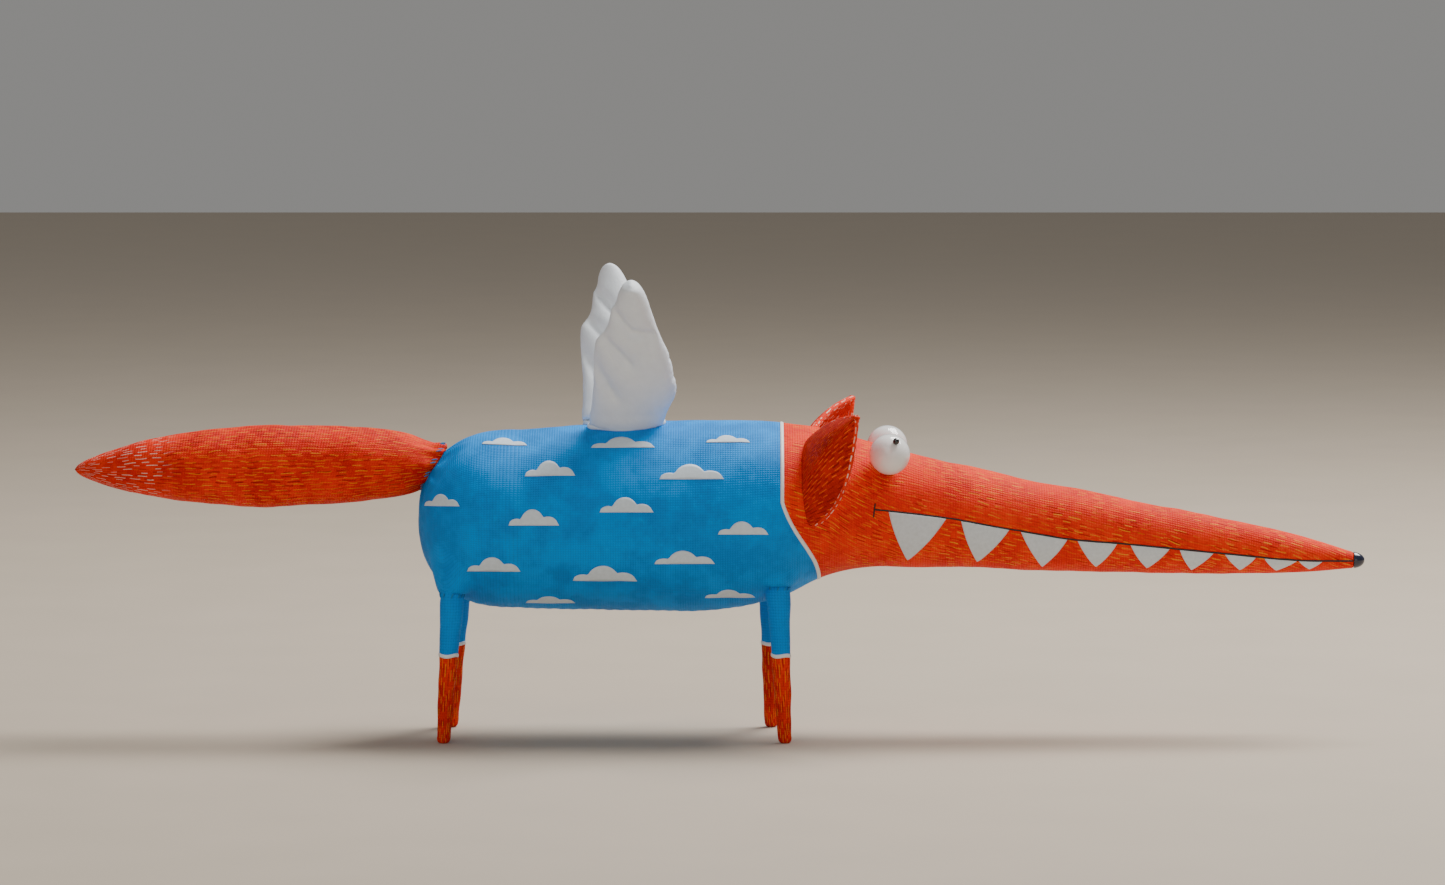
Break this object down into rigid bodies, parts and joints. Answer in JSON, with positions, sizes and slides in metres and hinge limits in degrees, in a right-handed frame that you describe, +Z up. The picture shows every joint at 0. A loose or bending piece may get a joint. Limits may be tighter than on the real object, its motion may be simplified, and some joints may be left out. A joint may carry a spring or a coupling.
{
  "type": "stuffed cloth animal figure",
  "caption": "Free-standing sewn and painted long-snouted winged fox figure on four thin legs, with bead eyes that turn on their pins.",
  "frame": {"origin": "on the ground, in the middle plane, halfway between the nose tip and the tail tip", "axes": "+X towards the nose, +Y towards the animal's left, +Z up"},
  "size_m": [0.3874, 0.0758, 0.1404],
  "materials": {
    "blue_painted_cloth": "satin acrylic paint over primed cotton",
    "orange_painted_cloth": "satin acrylic paint over primed cotton, with short brush dashes",
    "leg_painted_cloth": "blue above a white cuff line and orange below, painted over primed cotton",
    "white_painted_cloth": "thick matt white paint over quilted cotton",
    "white_bead": "gloss",
    "black_pin": "black enamelled head on a steel shank",
    "black_lacquer": "gloss navy black lacquer",
    "wadding": "loose polyester wadding",
    "rod_wood": "plain",
    "wire": "galvanised",
    "thread": "sewing thread under paint"
  },
  "bodies": {
    "figure": {"torso_cover": "blue_painted_cloth", "head_cover": "orange_painted_cloth", "nose_tip": "black_lacquer", "tail_cover": "orange_painted_cloth", "ear_left_back": "orange_painted_cloth", "ear_left_lining": "orange_painted_cloth", "ear_right_back": "orange_painted_cloth", "ear_right_lining": "orange_painted_cloth", "wing_left_cover": "white_painted_cloth", "wing_right_cover": "white_painted_cloth", "wing_left_stuffing": "wadding", "wing_right_stuffing": "wadding", "leg_front_left": "leg_painted_cloth", "leg_front_right": "leg_painted_cloth", "leg_rear_left": "leg_painted_cloth", "leg_rear_right": "leg_painted_cloth", "eye_pin_left": "black_pin", "eye_pin_right": "black_pin", "torso_stuffing": "wadding", "head_stuffing": "wadding", "tail_stuffing": "wadding", "snout_rod": "rod_wood", "front_leg_wire": "wire", "rear_leg_wire": "wire", "tail_wire": "wire", "wing_wire_left": "wire", "wing_wire_right": "wire", "wire_bindings": "thread", "leg_stitches": "thread", "tail_stitches": "thread"},
    "eye_left": {"eye_left": "white_bead"},
    "eye_right": {"eye_right": "white_bead"}
  },
  "joints": [
    {"name": "eye_left_turn", "type": "hinge", "parent": "figure", "child": "eye_left", "pos_m": [0.05054, 0.016, 0.08605], "axis": [0.2584, 0.7344, 0.6276], "continuous": true},
    {"name": "eye_right_turn", "type": "hinge", "parent": "figure", "child": "eye_right", "pos_m": [0.05054, -0.016, 0.08605], "axis": [0.2584, -0.7344, 0.6276], "continuous": true}
  ]
}
